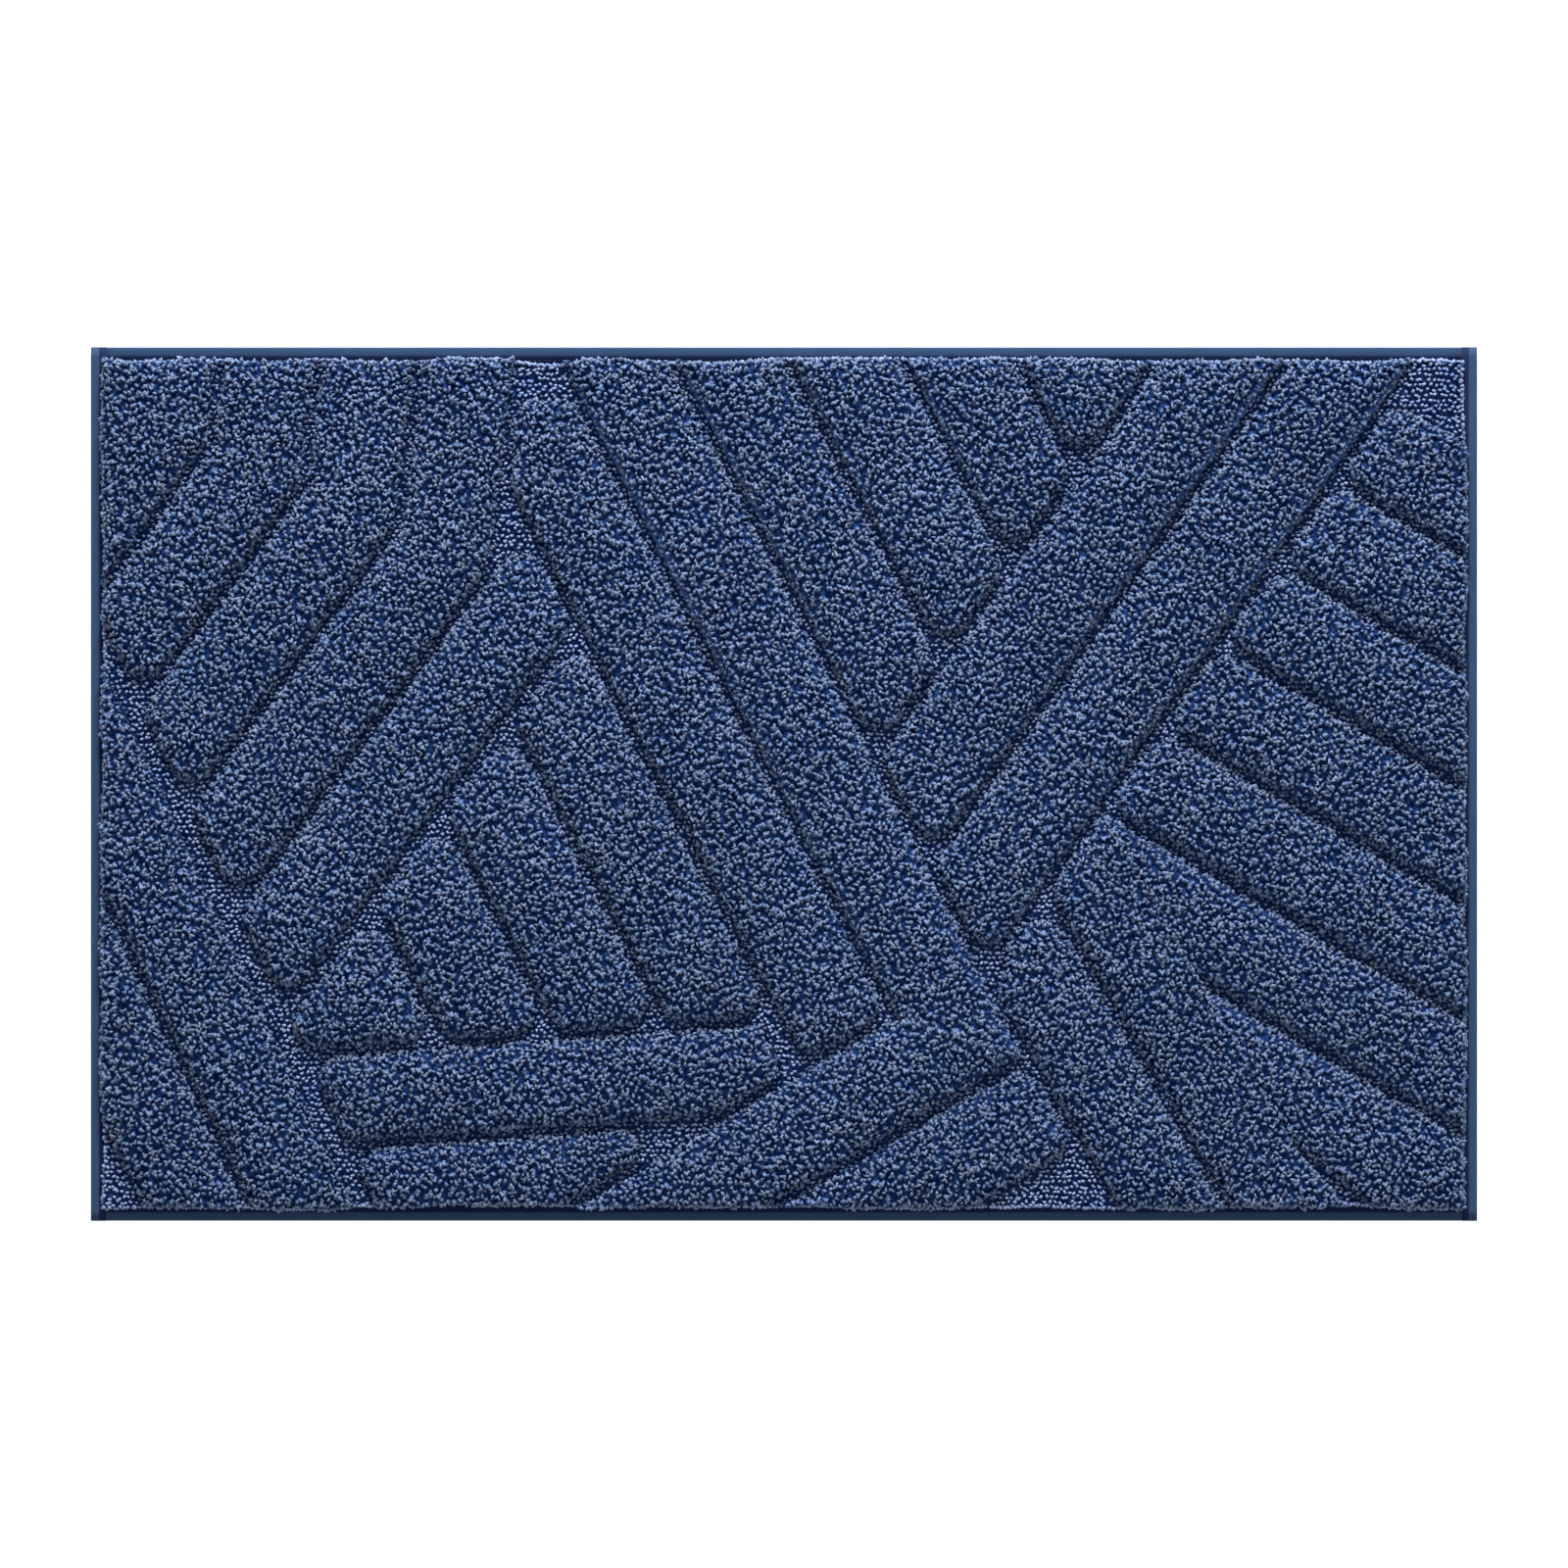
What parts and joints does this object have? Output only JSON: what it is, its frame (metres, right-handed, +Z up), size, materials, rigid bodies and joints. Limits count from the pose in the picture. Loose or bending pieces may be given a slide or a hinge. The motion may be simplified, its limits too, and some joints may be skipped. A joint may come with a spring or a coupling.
{
  "type": "bath mat",
  "caption": "Rectangular tufted bath mat with raised angled bars of curly loop pile, a bound tape edge and a non-slip backing.",
  "frame": {"origin": "centre of the underside, on the floor", "axes": "+X along the long side, +Y towards the back edge, +Z up out of the pile"},
  "size_m": [0.8, 0.504, 0.0141],
  "materials": {
    "bar_pile_yarn": "matte",
    "low_pile_yarn": "matte",
    "backing_cloth": "matte",
    "binding_tape": "matte",
    "sewing_thread": "satin",
    "label_tape": "satin",
    "latex": "matte",
    "grip_rubber": "matte"
  },
  "bodies": {
    "root": {"base_cloth": "backing_cloth", "binding_back": "binding_tape", "binding_front": "binding_tape", "binding_left": "binding_tape", "binding_right": "binding_tape", "care_label": "label_tape", "corner_bar_1": "bar_pile_yarn", "corner_bar_2": "bar_pile_yarn", "crossing_bar_1": "bar_pile_yarn", "crossing_bar_2": "bar_pile_yarn", "grip_backing": "grip_rubber", "latex_coat": "latex", "left_bar_1": "bar_pile_yarn", "left_bar_2": "bar_pile_yarn", "left_bar_3": "bar_pile_yarn", "left_bar_4": "bar_pile_yarn", "left_bar_5": "bar_pile_yarn", "level_bar_1": "bar_pile_yarn", "level_bar_2": "bar_pile_yarn", "long_bar_1": "bar_pile_yarn", "long_bar_2": "bar_pile_yarn", "long_bar_3": "bar_pile_yarn", "long_bar_4": "bar_pile_yarn", "long_bar_5": "bar_pile_yarn", "long_bar_6": "bar_pile_yarn", "low_pile": "low_pile_yarn", "peak_bar_1": "bar_pile_yarn", "peak_bar_2": "bar_pile_yarn", "peak_bar_3": "bar_pile_yarn", "peak_bar_4": "bar_pile_yarn", "pillar_bar_1": "bar_pile_yarn", "pillar_bar_2": "bar_pile_yarn", "ramp_bar_1": "bar_pile_yarn", "ramp_bar_2": "bar_pile_yarn", "right_bar_1": "bar_pile_yarn", "right_bar_2": "bar_pile_yarn", "right_bar_3": "bar_pile_yarn", "right_bar_4": "bar_pile_yarn", "right_bar_5": "bar_pile_yarn", "right_bar_6": "bar_pile_yarn", "right_bar_7": "bar_pile_yarn", "stitching_back": "sewing_thread", "stitching_front": "sewing_thread", "stitching_left": "sewing_thread", "stitching_right": "sewing_thread"}
  },
  "joints": []
}
